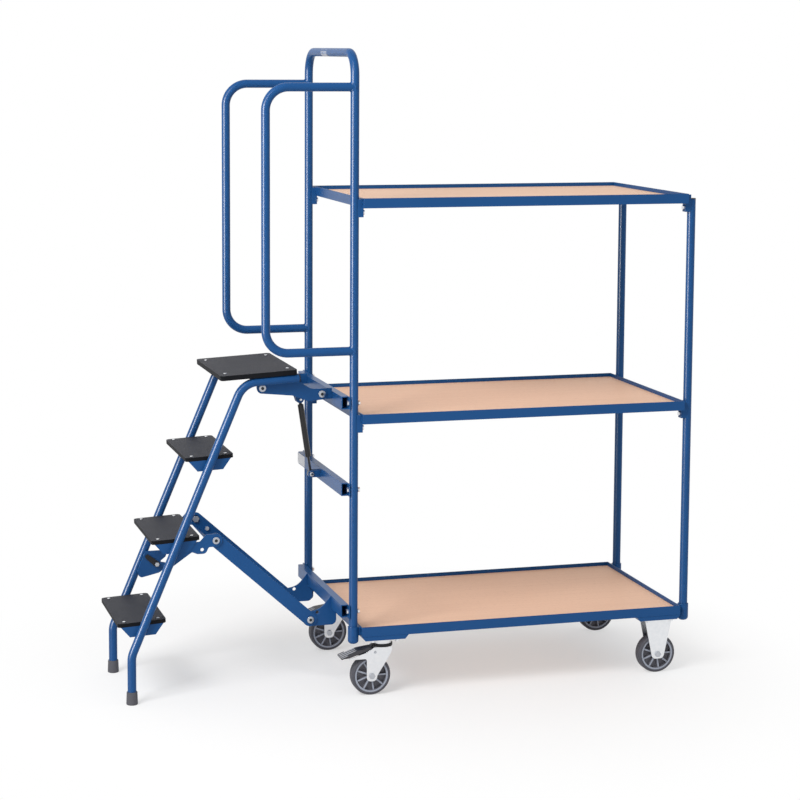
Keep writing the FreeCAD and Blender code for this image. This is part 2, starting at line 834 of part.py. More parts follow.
end_round = d.fork_end_radius
low_end = wheel_radius - end_round
front_x = end_round - d.swivel_offset
back_x = -end_round - d.swivel_offset
shoulder = crown_floor - d.fork_shoulder_drop
waist = wheel_radius + d.fork_waist_rise
wing_floor = wheel_diameter - d.wing_lap
fork_shape = [(-d.fork_crown_back, crown_top, d.fork_crown_round),
              (d.fork_crown_front, crown_top, d.fork_crown_round),
              (d.fork_crown_front, shoulder, d.fork_shoulder_round),
              (d.fork_waist_reach, waist, d.fork_waist_round), (front_x, wheel_radius, end_round / 2),
              (front_x, low_end, end_round * 0.8), (back_x, low_end, end_round * 0.8),
              (back_x, wing_floor, d.wing_round), (-d.wing_reach, wing_floor),
              (-d.wing_reach, wing_floor + d.wing_tip), (-d.wing_root, shoulder, d.fork_waist_round)]
pin_x = -d.pedal_pin_lead
pin_z = crown_floor - d.pedal_pin_drop
pin_hole = (pin_x, pin_z, d.pedal_pin_radius)
leg_holes = [(-d.swivel_offset, wheel_radius, axle_hole), pin_hole]
pedal_pin_half = d.fork_gap / 2 + d.fork_wall + d.pedal_pin_stub
pedal_end = pin_x - d.pedal_reach
pedal_tip_top = pin_z - d.pedal_tip_drop
pedal_tip_low = pedal_tip_top - d.pedal_tip_thickness
pedal_shape = [(pin_x + d.pedal_root, pin_z + d.pedal_root_rise),
               (pin_x - d.pedal_neck_lead, pin_z + d.pedal_root_rise),
               (pin_x - d.pedal_crest_lead, pin_z + d.pedal_crest_rise),
               (pin_x - d.pedal_bow_lead, pin_z + d.pedal_bow_rise, d.pedal_bow_round),
               (pedal_end, pedal_tip_top), (pedal_end, pedal_tip_low),
               (pin_x - d.pedal_toe_lead, pin_z - d.pedal_toe_drop),
               (pin_x - d.pedal_heel_lead, pin_z + d.pedal_heel_rise),
               (pin_x + d.pedal_root, pin_z - d.pedal_root)]
tip_slope = (d.pedal_tip_drop + d.pedal_bow_rise) / (d.pedal_reach - d.pedal_bow_lead)
tip_inner = pedal_end + d.pedal_tip_length
tip_rise = d.pedal_tip_length * tip_slope
tip_shape = [(tip_inner, pedal_tip_top + tip_rise), (pedal_end, pedal_tip_top), (pedal_end, pedal_tip_low),
             (tip_inner, pedal_tip_low + tip_rise)]
for name, side in SIDES:
    y = caster_y * side
    legs = [place(plate("ForkLeg", fork_shape, d.fork_wall, leg_holes), 0, leg_y * s) for s in (-1, 1)]
    crown = rod(d.swivel_radius, d.crown_height, 0, 0, crown_floor)
    king_hole = rod(d.king_pin_radius + d.bolt_clearance, d.crown_height, 0, 0, crown_floor)
    fork = cut(fuse(crown, *legs), king_hole)
    node(f"swivel_fork_{name}", place(fork, swivel_x, y))
    pedal_pin = rod(d.pedal_pin_radius - d.bolt_clearance, pedal_pin_half * 2, swivel_x + pin_x,
                    y - pedal_pin_half, pin_z, "Y")
    node(f"fork_pins_{name}", group(axle(swivel_x - d.swivel_offset, y), pedal_pin))
    lever = plate("PedalLever", pedal_shape, d.fork_gap - d.pedal_side_gap * 2, [pin_hole])
    tip = plate("PedalTip", tip_shape, d.pedal_tip_width)
    shoe = block(d.brake_shoe_length, d.brake_shoe_width, d.brake_shoe_height,
                 pin_x - d.brake_shoe_lead - d.brake_shoe_length, -d.brake_shoe_width / 2,
                 wheel_diameter + d.brake_gap)
    node(f"brake_pedal_{name}", place(fuse(lever, tip, shoe), swivel_x, y))

# Wheels: spoked plastic hubs with soft tyres, turned about Z and laid along Y

rim_outer = wheel_radius - d.tyre_depth
rim_inner = rim_outer - d.rim_depth


def wheel_hub():
    half_boss = d.boss_width / 2
    half_rim = d.rim_width / 2
    half_web = d.web_thickness / 2
    lip = d.boss_round
    body = turned("Hub", [(axle_hole, -half_boss), (d.boss_radius, -half_boss, lip),
                          (d.boss_radius, -half_web), (rim_inner, -half_web), (rim_inner, -half_rim),
                          (rim_outer, -half_rim), (rim_outer, half_rim), (rim_inner, half_rim),
                          (rim_inner, half_web), (d.boss_radius, half_web),
                          (d.boss_radius, half_boss, lip), (axle_hole, half_boss)])
    spoke = new_sketch(body, "XY_Plane")
    half = d.spoke_width / 2
    draw_outline(spoke, [(d.boss_radius - lip, -half), (rim_inner + lip, -half), (rim_inner + lip, half),
                         (d.boss_radius - lip, half)])
    first = pad(body, spoke, d.spoke_height)
    pattern = body.newObject("PartDesign::PolarPattern", "Spokes")
    pattern.Originals = [first]
    pattern.Axis = (next(f for f in body.Origin.OriginFeatures if f.Role == "Z_Axis"), [""])
    pattern.Angle = 360
    bind(pattern, "Occurrences", d.spoke_count)
    body.Tip = pattern
    return body


def wheel_tyre():
    half = d.tyre_width / 2
    inner = rim_outer + d.bolt_clearance
    return turned("Tyre", [(inner, -half), (wheel_radius, -half, d.tyre_round),
                           (wheel_radius, half, d.tyre_round), (inner, half)])


for end, wheel_x in (("swivel", swivel_x - d.swivel_offset), ("fixed", fixed_x)):
    for name, side in SIDES:
        node(f"{end}_hub_{name}", place(wheel_hub(), wheel_x, caster_y * side, wheel_radius, *ALONG["Y"]))
        node(f"{end}_tyre_{name}", place(wheel_tyre(), wheel_x, caster_y * side, wheel_radius, *ALONG["Y"]))

# Ladder rails: bent tubes from foot to platform, with rubber feet and end plugs

rail_y = d.tread_width / 2 + tube_radius
foot_x = left_x - d.foot_reach


def rail_x(z):
    return foot_x + (z - d.knee_height) * slope


platform_height = d.first_tread_height + d.tread_pitch * 3
bend_z = platform_height - d.platform_thickness - tube_radius
bend_x = rail_x(bend_z)
end_x = bend_x + d.top_run * level
end_z = bend_z + d.top_run * rise
TILT_AXIS = "0; -1; 0"
rails = []
feet = []
plugs = []
for _, side in SIDES:
    rail_path = [(foot_x, d.foot_sole), (foot_x, d.knee_height), (bend_x, bend_z), (end_x, end_z)]
    rail = bent_tube("LadderRail", "XZ_Plane", rail_path, "XY_Plane", foot_x, 0, d.foot_sole)
    rails.append(place(rail, 0, rail_y * side))
    cap = turned("FootCap", [(0, 0), (d.foot_radius, 0, 3), (d.foot_top_radius, d.foot_height, 1.2),
                             (tube_radius + d.bolt_clearance, d.foot_height),
                             (tube_radius + d.bolt_clearance, d.foot_sole), (0, d.foot_sole)])
    feet.append(place(cap, foot_x, rail_y * side))
    stem = tube_radius - d.tube_wall - d.weld_gap
    plug = turned("EndPlug", [(0, -d.plug_length), (stem, -d.plug_length), (stem, 0), (tube_radius, 0),
                              (tube_radius, d.cap_thickness, 1), (0, d.cap_thickness)])
    plugs.append(place(plug, end_x, rail_y * side, end_z, "0; 1; 0", 90 - d.tread_tilt))
node("ladder_rails", group(*rails))
node("foot_caps", group(*feet))
node("rail_end_plugs", group(*plugs))

# Treads and platform: anti-slip boards screwed to sheet holders between the rails


def screw_spots(depth, width):
    return [((depth / 2 - d.screw_inset_x) * i, (width / 2 - d.screw_inset_y) * j) for i, j in CORNERS]


def tread_board(depth, width, thickness, spots):
    """A board with round corners, its underside at Z = 0, drilled for its screws."""
    body = new_body("Board")
    sketch = new_sketch(body, "XY_Plane")
    x, y, r = depth / 2, width / 2, d.tread_round
    draw_outline(sketch, [(-x, -y, r), (x, -y, r), (x, y, r), (-x, y, r)])
    for u, v in spots:
        draw_circle(sketch, u, v, d.screw_radius + d.bolt_clearance)
    pad(body, sketch, thickness, symmetric=False)
    return body


def drill_for_screws(body, spots):
    sketch = new_sketch(body, "XY_Plane")
    for u, v in spots:
        draw_circle(sketch, u, v, d.screw_radius + d.bolt_clearance)
    pocket(body, sketch)


def screws(spots, thickness, x, z):
    """Round-head screws through a board and its holder."""
    length = thickness + d.holder_wall
    pieces = [fuse(rod(d.screw_radius, length, u, v, -d.holder_wall),
                   rod(d.screw_head_radius, d.screw_head_height, u, v, thickness)) for u, v in spots]
    return place(group(*pieces), x, 0, z, TILT_AXIS, d.tread_tilt)


def tread_holder(spots):
    """A folded sheet under a tread, with a trapezoid flange at each end."""
    body = new_body("Holder")
    sketch = new_sketch(body, "XZ_Plane")
    top, foot = d.holder_depth / 2, d.holder_foot / 2
    draw_outline(sketch, [(-top, 0), (top, 0), (foot, -d.holder_drop), (-foot, -d.holder_drop)])
    pad(body, sketch, d.tread_width)
    hollow = new_sketch(body, "XZ_Plane")
    draw_outline(hollow, [(-top, -d.holder_wall), (top, -d.holder_wall), (top, -d.holder_drop * 2),
                          (-top, -d.holder_drop * 2)])
    pocket(body, hollow, d.tread_width - d.holder_wall * 2)
    drill_for_screws(body, spots)
    return body


tread_spots = screw_spots(d.tread_depth, d.tread_width)
tread_names = ("lower_tread", "middle_tread", "upper_tread")
tread_places = []
holders = []
all_screws = []
for step, name in enumerate(tread_names):
    top = d.first_tread_height + d.tread_pitch * step
    x = rail_x(top) - d.tread_lead
    z = top - d.tread_thickness
    tread_places.append((x, z))
    board = tread_board(d.tread_depth, d.tread_width, d.tread_thickness, tread_spots)
    node(f"{name}_board", place(board, x, 0, z, TILT_AXIS, d.tread_tilt))
    holders.append(place(tread_holder(tread_spots), x, 0, z, TILT_AXIS, d.tread_tilt))
    all_screws.append(screws(tread_spots, d.tread_thickness, x, z))
node("tread_holders", group(*holders))

platform_x = bend_x + d.platform_lead * level - tube_radius * rise
platform_z = bend_z + d.platform_lead * rise + tube_radius * level
platform_spots = screw_spots(d.platform_depth, d.tread_width)
platform = tread_board(d.platform_depth, d.platform_width, d.platform_thickness, platform_spots)
node("platform_board", place(platform, platform_x, 0, platform_z, TILT_AXIS, d.tread_tilt))
all_screws.append(screws(platform_spots, d.platform_thickness, platform_x, platform_z))
node("tread_screws", group(*all_screws))

# Platform holder: a sheet between the rails with two tongues for the top links

link_y = d.tread_width / 2 - d.holder_wall - d.ladder_plate_wall
tongue_y = link_y - d.layer_gap - d.lug_wall / 2
sheet_half = d.platform_depth / 2 - d.screw_inset_x / 2
tongue_left = d.platform_pivot_lead - d.link_tail_radius
tongue_right = d.platform_pivot_lead + d.link_tail_radius
tongue_end = -d.platform_pivot_drop - d.link_tail_radius
tongue_round = d.link_tail_radius * 0.97
tongue_shape = [(tongue_left, -d.holder_wall), (tongue_right, -d.holder_wall),
                (tongue_right, tongue_end, tongue_round), (tongue_left, tongue_end, tongue_round)]
tongues = [place(plate("Tongue", tongue_shape, d.lug_wall,
                       [(d.platform_pivot_lead, -d.platform_pivot_drop, pivot_hole)]), 0, tongue_y * s)
           for s in (-1, 1)]
sheet_body = plate("PlatformSheet", [(-sheet_half, 0), (sheet_half, 0), (sheet_half, -d.holder_wall),
                                     (-sheet_half, -d.holder_wall)], d.tread_width)
drill_for_screws(sheet_body, platform_spots)
platform_holder = fuse(sheet_body, *tongues)
node("platform_holder", place(platform_holder, platform_x, 0, platform_z, TILT_AXIS, d.tread_tilt))

# Pivots of the linkage, in the plane of the trolley's length

link_top_x = platform_x + d.platform_pivot_lead * level + d.platform_pivot_drop * rise
link_top_z = platform_z + d.platform_pivot_lead * rise - d.platform_pivot_drop * level
link_base_x = left_x - d.link_pivot_reach
link_base_z = d.upper_crossbar_top - d.link_pivot_drop
brace_top_x = tread_places[1][0] + d.brace_pivot_lead
brace_top_z = tread_places[1][1] - d.brace_pivot_drop
brace_base_x = left_x - d.brace_foot_reach
brace_base_z = lower_crossbar_top - d.brace_foot_drop
strut_top_x = link_base_x - d.strut_eye_lead
strut_top_z = link_base_z - d.strut_eye_drop
strut_base_x = left_x - d.strut_foot_reach
strut_base_z = d.middle_crossbar_top - d.crossbar_height / 2

# Lugs on the crossbars: two ears for the top links, a pair for the gas spring


def lug(reach_x, z, radius, hole, y):
    """A plate from the crossbar's face to a round end with a bolt hole."""
    length = crossbar_face - reach_x
    shape = [(0, -radius, radius * 0.97), (length + radius, -radius), (length + radius, radius),
             (0, radius, radius * 0.97)]
    body = plate("Lug", shape, d.lug_wall, [(radius, 0, hole)])
    return place(body, reach_x - radius, y, z)


strut_lug_y = d.strut_lug_gap / 2 + d.lug_wall / 2
lugs = [lug(link_base_x, link_base_z, d.link_end_radius, pivot_hole, tongue_y * s) for s in (-1, 1)]
lugs += [lug(strut_base_x, strut_base_z, d.strut_eye_radius, bolt_hole, strut_lug_y * s) for s in (-1, 1)]
node("crossbar_lugs", group(*lugs))

# Brace brackets: concave plates that hang from the lower crossbar

brace_y = link_y - d.layer_gap - d.link_wall / 2
bracket_y = brace_y - d.link_wall / 2 - d.layer_gap - d.lug_wall / 2
face_u = crossbar_face - brace_base_x
top_v = lower_crossbar_top - brace_base_z
under_v = top_v - d.crossbar_height
foot_round = d.bracket_end_radius
heel_u = face_u + foot_round * 0.77
bracket_shape = [(-foot_round, -foot_round, foot_round * 0.97), (heel_u, -foot_round, foot_round * 0.75),
                 (heel_u, under_v), (face_u, under_v), (face_u, top_v),
                 (face_u - foot_round * 1.55, foot_round * 1.36, foot_round * 2.5),
                 (-foot_round, foot_round, foot_round * 0.9)]
bracket_holes = [(0, 0, pivot_hole), (foot_round * 1.09, foot_round * 0.95, foot_round * 0.25)]
brace_brackets = [plate("BraceBracket", bracket_shape, d.lug_wall, bracket_holes) for _ in SIDES]
for bracket, (_, side) in zip(brace_brackets, SIDES):
    place(bracket, brace_base_x, bracket_y * side, brace_base_z)
node("brace_brackets", group(*brace_brackets))

# Top links: two shaped plates, joined by a cross tube with lugs for the gas spring

tail = d.link_tail_radius
nose = d.link_end_radius
link_crest = link_top_z + tail * 1.25
link_shape = [(link_top_x - tail, link_crest, tail), (end_x, link_crest, tail * 0.8),
              (link_base_x - nose * 2, link_base_z + nose, nose * 2.6),
              (link_base_x + nose, link_base_z + nose, nose * 0.97),
              (link_base_x + nose, link_base_z - nose, nose * 0.97),
              (link_base_x - nose * 2.6, link_base_z - nose * 1.24, nose),
              (link_top_x + tail * 6, link_top_z - tail * 1.7, tail),
              (link_top_x - tail, link_top_z - tail, tail * 0.97)]
link_holes = [(link_top_x, link_top_z, pivot_hole), (link_base_x, link_base_z, pivot_hole)]
link_mid_y = link_y + d.link_wall / 2
link_plates = [place(plate("LinkPlate", link_shape, d.link_wall, link_holes), 0, link_mid_y * s)
               for s in (-1, 1)]
node("link_plates", group(*link_plates))

cross_x = link_base_x - d.cross_tube_lead
cross_z = link_base_z + d.cross_tube_rise
eye = d.strut_eye_radius
spring_lug_shape = [(strut_top_x - eye, strut_top_z - eye, eye * 0.97),
                    (strut_top_x + eye, strut_top_z - eye, eye * 0.97),
                    (strut_top_x + eye, cross_z), (cross_x - eye * 0.9, cross_z)]
spring_hole = [(strut_top_x, strut_top_z, bolt_hole)]
spring_lugs = [place(plate("SpringLug", spring_lug_shape, d.lug_wall, spring_hole), 0, strut_lug_y * s)
               for s in (-1, 1)]
cross_outside = rod(tube_radius, link_y * 2, cross_x, -link_y, cross_z, "Y")
cross_inside = rod(tube_radius - d.tube_wall, link_y * 2, cross_x, -link_y, cross_z, "Y")
node("link_cross_member", cut(fuse(cross_outside, *spring_lugs), cross_inside))
pin_half = strut_lug_y + d.lug_wall / 2 + d.bolt_head_height
node("strut_pin", rod(d.bolt_radius, pin_half * 2, strut_top_x, -pin_half, strut_top_z, "Y"))

# Ladder plates: welded inside the treads' flanges; the far one also holds the latch

plate_y = link_y + d.ladder_plate_wall / 2
brace_end = d.brace_depth / 2 - d.layer_gap * 2
plate_top = [(brace_end, brace_end, brace_end * 0.97), (brace_end, -brace_end, brace_end * 0.97),
             (brace_end * -1.1, -brace_end, brace_end * 0.3),
             (brace_end * -1.6, brace_end * -2, brace_end * 0.7),
             (brace_end * -2.9, brace_end * -2, brace_end * 0.7),
             (brace_end * -3.75, brace_end * -1.65, brace_end * 0.3)]
plate_back = [(brace_end * -6.25, brace_end * -0.1, brace_end * 0.15),
              (brace_end * -2.5, brace_end * -0.1, brace_end * 0.4),
              (brace_end * -1.5, brace_end, brace_end * 0.4)]
latch_x = rail_x(d.latch_height) + d.latch_inset
latch_u = latch_x - brace_top_x
latch_v = d.latch_height - brace_top_z


def on_rail(v, inset):
    """A point of the ladder plate's outline beside the rail, at height v from the brace's pivot."""
    return rail_x(brace_top_z + v) - brace_top_x + inset, v


front_plate_shape = plate_top + [on_rail(brace_end * -4.4, brace_end / 4)] + plate_back
grip = d.latch_radius
latch_lobe = [(latch_u + grip * 3, latch_v + grip * 2.2, grip * 0.4),
              (latch_u + grip, latch_v + grip * 0.6, grip * 0.3),
              (latch_u + grip * 3, latch_v + grip * 0.2, grip * 0.4),
              (latch_u + grip * 3.2, latch_v - grip * 1.4, grip),
              (latch_u + grip * 0.8, latch_v - grip * 3, grip),
              (latch_u - grip * 5.4, latch_v - grip * 4.4, grip * 1.2), on_rail(latch_v - grip * 2.2, 0)]
latch_notch = [on_rail(latch_v + grip * 4.3, 0), (latch_u + grip * 2, latch_v + grip * 4.3, grip)]
back_plate_shape = plate_top + latch_lobe + latch_notch + plate_back[1:]
latch_hole = (latch_u, latch_v, d.bolt_radius + d.bolt_clearance)
plate_holes = [(0, 0, pivot_hole), (brace_end * -2.15, brace_end * -1.35, brace_end * 0.275)]
front_plate = plate("LadderPlateFront", front_plate_shape, d.ladder_plate_wall, plate_holes)
node("ladder_plate_front", place(front_plate, brace_top_x, -plate_y, brace_top_z))
back_plate = plate("LadderPlateBack", back_plate_shape, d.ladder_plate_wall, plate_holes + [latch_hole])
node("ladder_plate_back", place(back_plate, brace_top_x, plate_y, brace_top_z))

# Pivot bolts: round heads outside, nuts inside


def pivot_bolt(x, z, outer, inner, side, radius):
    """A bolt along Y between two faces of a stack of plates, head on the outer one."""
    low = -outer if side < 0 else inner
    shank = rod(radius, outer - inner, x, low, z, "Y")
    head_y = -outer - d.pivot_head_height if side < 0 else outer
    nut_y = -inner if side < 0 else inner - d.pivot_nut_height
    head = rod(d.pivot_head_radius * radius / d.pivot_radius, d.pivot_head_height, x, head_y, z, "Y")
    nut = hexagon(radius * 3.2, d.pivot_nut_height, x, nut_y, z, "Y")
    return fuse(shank, head, nut)


link_outer = link_y + d.link_wall + d.layer_gap
tongue_inner = tongue_y - d.lug_wall / 2
brace_outer = brace_y + d.link_wall / 2 + d.layer_gap
bracket_inner = bracket_y - d.lug_wall / 2
plate_outer = link_y + d.ladder_plate_wall
brace_inner = brace_y - d.link_wall / 2 - d.layer_gap
frame_pivots = []
ladder_pivots = []
for _, side in SIDES:
    link_stack = (link_outer, tongue_inner, side, d.pivot_radius)
    frame_pivots.append(pivot_bolt(link_base_x, link_base_z, *link_stack))
    ladder_pivots.append(pivot_bolt(link_top_x, link_top_z, *link_stack))
    bracket_stack = (brace_outer, bracket_inner, side, d.pivot_radius)
    frame_pivots.append(pivot_bolt(brace_base_x, brace_base_z, *bracket_stack))
    plate_stack = (plate_outer, brace_inner, side, d.pivot_radius)
    ladder_pivots.append(pivot_bolt(brace_top_x, brace_top_z, *plate_stack))
lug_outer = strut_lug_y + d.lug_wall / 2
frame_pivots.append(pivot_bolt(strut_base_x, strut_base_z, lug_outer, -lug_outer, -1, d.bolt_radius))
latch_inner = link_y - d.layer_gap - d.latch_thickness - d.layer_gap
ladder_pivots.append(pivot_bolt(latch_x, d.latch_height, plate_outer, latch_inner, 1, d.bolt_radius))
node("frame_pivot_bolts", group(*frame_pivots))
node("ladder_pivot_bolts", group(*ladder_pivots))

# Brace: a channel from the lower crossbar's brackets to the ladder plates, drawn along X

brace_length = distance(brace_top_x - brace_base_x, brace_top_z - brace_base_z)
brace_angle = angle_of(brace_top_z - brace_base_z, brace_top_x - brace_base_x)
half_depth = d.brace_depth / 2
brace_round = half_depth * 0.97
brace_tip = brace_length + half_depth
flange_shape = [(-half_depth, -half_depth, brace_round), (brace_tip, -half_depth, brace_round),
                (brace_tip, half_depth, brace_round), (-half_depth, half_depth, brace_round)]
open_hole = d.pivot_radius + d.open_pivot_play
flange_holes = [(0, 0, pivot_hole), (brace_length, 0, open_hole)]
stop_hole = (brace_length - d.brace_stop_lead, 0, bolt_hole)
front_flange = place(plate("BraceFlange", flange_shape, d.link_wall, flange_holes), 0, -brace_y)
back_flange = place(plate("BraceFlange", flange_shape, d.link_wall, flange_holes + [stop_hole]), 0, brace_y)
web_width = (brace_y - d.link_wall / 2) * 2
web_length = brace_length - d.brace_web_start + d.brace_web_lap
web_floor = half_depth - d.brace_web_wall
web = block(web_length, web_width, d.brace_web_wall, d.brace_web_start, -web_width / 2, web_floor)
BRACE_AXIS = "0; -1; 0"
brace = fuse(front_flange, back_flange, web)
node("brace", place(brace, brace_base_x, 0, brace_base_z, BRACE_AXIS, brace_angle))
stop_x = brace_length - d.brace_stop_lead
stop_y = brace_y - d.link_wall / 2
stop_head = hexagon(d.bolt_head_across, d.bolt_head_height, stop_x, stop_y - d.bolt_head_height, 0, "Y")
stop_bolt = fuse(stop_head, rod(d.bolt_radius, d.link_wall, stop_x, stop_y, 0, "Y"))
node("brace_stop_bolt", place(stop_bolt, brace_base_x, 0, brace_base_z, BRACE_AXIS, brace_angle))

# Gas spring: cylinder above, piston rod below, drawn along Z from the lower eye

strut_length = distance(strut_top_x - strut_base_x, strut_top_z - strut_base_z)
strut_angle = angle_of(strut_top_x - strut_base_x, strut_top_z - strut_base_z)
STRUT_AXIS = "0; 1; 0"
half_eye = d.strut_eye_width / 2
cylinder_top = strut_length - d.cylinder_neck
tube_outside = rod(d.cylinder_radius, cylinder_top - d.cylinder_bottom, 0, 0, d.cylinder_bottom)
neck = rod(d.piston_rod_radius + 1, d.cylinder_neck, 0, 0, cylinder_top)
top_eye = rod(d.strut_eye_radius, d.strut_eye_width, 0, -half_eye, strut_length, "Y")
eye_hole = rod(d.bolt_radius + d.strut_play, d.strut_eye_width, 0, -half_eye, strut_length, "Y")
cylinder_hollow = rod(d.cylinder_bore, cylinder_top - d.cylinder_bottom - d.gland_length * 2, 0, 0,
                      d.cylinder_bottom + d.gland_length)
gland_hole = rod(d.piston_rod_radius + d.bolt_clearance, d.gland_length, 0, 0, d.cylinder_bottom)
cylinder = cut(fuse(tube_outside, neck, top_eye), eye_hole, cylinder_hollow, gland_hole)
node("strut_cylinder", place(cylinder, strut_base_x, 0, strut_base_z, STRUT_AXIS, strut_angle))
low_eye = rod(d.strut_foot_radius, d.strut_eye_width, 0, -half_eye, 0, "Y")
shaft = rod(d.piston_rod_radius, d.piston_height + d.piston_length)
piston = rod(d.cylinder_bore - d.bolt_clearance * 2, d.piston_length, 0, 0, d.piston_height)
low_hole = rod(bolt_hole, d.strut_eye_width, 0, -half_eye, 0, "Y")
piston_rod = cut(fuse(low_eye, shaft, piston), low_hole)
node("strut_rod", place(piston_rod, strut_base_x, 0, strut_base_z, STRUT_AXIS, strut_angle))

# Latch lever on the far ladder plate's inner face

lever_shape = [(-grip, -grip, grip * 0.97), (d.latch_length, -grip * 0.7, grip * 0.66),
               (d.latch_length, grip * 0.7, grip * 0.66), (-grip, grip, grip * 0.97)]
lever = plate("LatchLever", lever_shape, d.latch_thickness, [(0, 0, d.bolt_radius + d.bolt_clearance)])
lever_y = link_y - d.layer_gap - d.latch_thickness / 2
node("latch_lever", place(lever, latch_x, lever_y, d.latch_height, "0; -1; 0", d.latch_angle))

# Checks, then one STEP file for each node

doc.recompute()
failed = [thing.Name for thing in doc.Objects if "Invalid" in thing.State or "Error" in thing.State]
if failed:
    raise RuntimeError("failed objects: " + ", ".join(failed))
for thing in nodes:
    if thing.Shape.isNull() or not thing.Shape.isValid() or not thing.Shape.Solids:
        raise RuntimeError("bad shape: " + thing.Label)
os.makedirs("parts", exist_ok=True)
for thing in nodes:
    thing.Shape.exportStep(f"parts/{thing.Label}.step")
pivots = {"link base": (link_base_x, link_base_z), "link top": (link_top_x, link_top_z),
          "brace base": (brace_base_x, brace_base_z), "brace top": (brace_top_x, brace_top_z),
          "strut base": (strut_base_x, strut_base_z), "strut top": (strut_top_x, strut_top_z),
          "latch": (latch_x, d.latch_height)}
for name, (x, z) in pivots.items():
    print(f"{name} pivot: x {x.value:.3f} z {z.value:.3f}")
print(f"{len(nodes)} nodes, {sum(len(thing.Shape.Solids) for thing in nodes)} solids")
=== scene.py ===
import json
import math

import bmesh
import bpy
from mathutils import Matrix, Vector

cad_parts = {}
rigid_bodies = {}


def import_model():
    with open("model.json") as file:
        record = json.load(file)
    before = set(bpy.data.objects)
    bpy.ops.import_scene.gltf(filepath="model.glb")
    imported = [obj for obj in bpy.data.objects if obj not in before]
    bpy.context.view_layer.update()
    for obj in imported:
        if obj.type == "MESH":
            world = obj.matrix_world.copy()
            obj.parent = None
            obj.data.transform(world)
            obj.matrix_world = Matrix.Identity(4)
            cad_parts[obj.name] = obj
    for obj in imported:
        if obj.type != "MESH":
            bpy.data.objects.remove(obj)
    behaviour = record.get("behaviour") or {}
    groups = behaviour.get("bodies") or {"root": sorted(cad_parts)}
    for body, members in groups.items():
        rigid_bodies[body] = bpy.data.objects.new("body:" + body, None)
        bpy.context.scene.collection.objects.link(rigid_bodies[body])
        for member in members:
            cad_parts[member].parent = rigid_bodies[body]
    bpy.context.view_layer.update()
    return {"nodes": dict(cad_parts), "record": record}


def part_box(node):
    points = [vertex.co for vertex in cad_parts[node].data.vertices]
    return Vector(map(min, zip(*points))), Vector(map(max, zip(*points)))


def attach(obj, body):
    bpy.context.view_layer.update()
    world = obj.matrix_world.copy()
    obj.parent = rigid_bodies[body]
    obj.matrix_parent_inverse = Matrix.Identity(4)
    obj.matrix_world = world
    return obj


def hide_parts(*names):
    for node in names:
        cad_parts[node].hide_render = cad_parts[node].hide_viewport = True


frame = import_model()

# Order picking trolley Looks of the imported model, in metres, +Z up, with the ladder at -X.
nodes = frame["nodes"]
behaviour = frame["record"]["behaviour"]
bodies = {node: body for body, members in behaviour["bodies"].items() for node in members}


# Push bar and left posts
# One steel tube, bent to a hoop. Its blue polyester powder coat was sprayed dry and baked: a satin
# skin with a faint orange-peel ripple. A blank plate is wrapped round the bar.
POWDER_BLUE = "#1C4F86"
POWDER_BLUE_THIN = "#19487C"
POWDER_PATCH = 0.16
POWDER_RIPPLE = 0.0035
POWDER_RIPPLE_HEIGHT = 0.000008
ALUMINIUM = "#DCDDDF"
ALUMINIUM_DULL = "#D0D1D4"
BAR_PLATE_LENGTH = 0.074
BAR_PLATE_MIDDLE = 0.045
BAR_PLATE_WRAP = math.radians(170)
BAR_PLATE_THICKNESS = 0.0004
TUBE_EDGE = 0.0003
# points nearer than this are one point, and faces that meet flatter than this are one face
MERGE_WITHIN = 2e-6
FLAT_WITHIN = math.radians(0.6)
# folds past the first angle are eased, and those past the second still look sharp
EASE_FROM = math.radians(25)
SHARP_FROM = math.radians(50)


def linear(hex_colour):
    """Linear RGBA of an sRGB hex colour."""
    parts = [int(hex_colour[i:i + 2], 16) / 255 for i in (1, 3, 5)]
    return [p / 12.92 if p <= 0.04045 else ((p + 0.055) / 1.055) ** 2.4 for p in parts] + [1]


def put(tree, kind, values=None, links=None, **settings):
    """Adds a shader node, sets its properties and input values, and links sockets into it."""
    made = tree.nodes.new("ShaderNode" + kind)
    for name, value in settings.items():
        setattr(made, name, value)
    for name, value in (values or {}).items():
        made.inputs[name].default_value = value
    for name, socket in (links or {}).items():
        tree.links.new(socket, made.inputs[name])
    return made


def new_finish(name, roughness, metallic=0.0, gloss=0.5):
    """A material with its node tree and its Principled shader."""
    finish = bpy.data.materials.new(name)
    finish.use_nodes = True
    surface = finish.node_tree.nodes["Principled BSDF"]
    surface.inputs["Roughness"].default_value = roughness
    surface.inputs["Metallic"].default_value = metallic
    surface.inputs["Specular IOR Level"].default_value = gloss
    return finish, finish.node_tree, surface


def mottle(tree, surface, first, second, patch):
    """Lets the colour drift between two tones in soft patches of a real size."""
    place = put(tree, "TexCoord").outputs["Object"]
    cloud = put(tree, "TexNoise", {"Scale": 1 / patch, "Detail": 3.0}, {"Vector": place})
    tones = put(tree, "Mix", {"A": linear(first), "B": linear(second)},
                {"Factor": cloud.outputs["Fac"]}, data_type="RGBA")
    tree.links.new(tones.outputs["Result"], surface.inputs["Base Color"])
    return place


def ripple(tree, surface, place, grain, height):
    """A fine bump whose grains and height are real sizes."""
    grit = put(tree, "TexNoise", {"Scale": 1 / grain, "Detail": 2.0}, {"Vector": place})
    bump = put(tree, "Bump", {"Distance": height, "Strength": 1.0}, {"Height": grit.outputs["Fac"]})
    tree.links.new(bump.outputs["Normal"], surface.inputs["Normal"])


def powder_coat():
    finish, tree, surface = new_finish("powder_coated_steel", roughness=0.3, gloss=0.14)
    place = mottle(tree, surface, POWDER_BLUE, POWDER_BLUE_THIN, POWDER_PATCH)
    ripple(tree, surface, place, POWDER_RIPPLE, POWDER_RIPPLE_HEIGHT)
    return finish


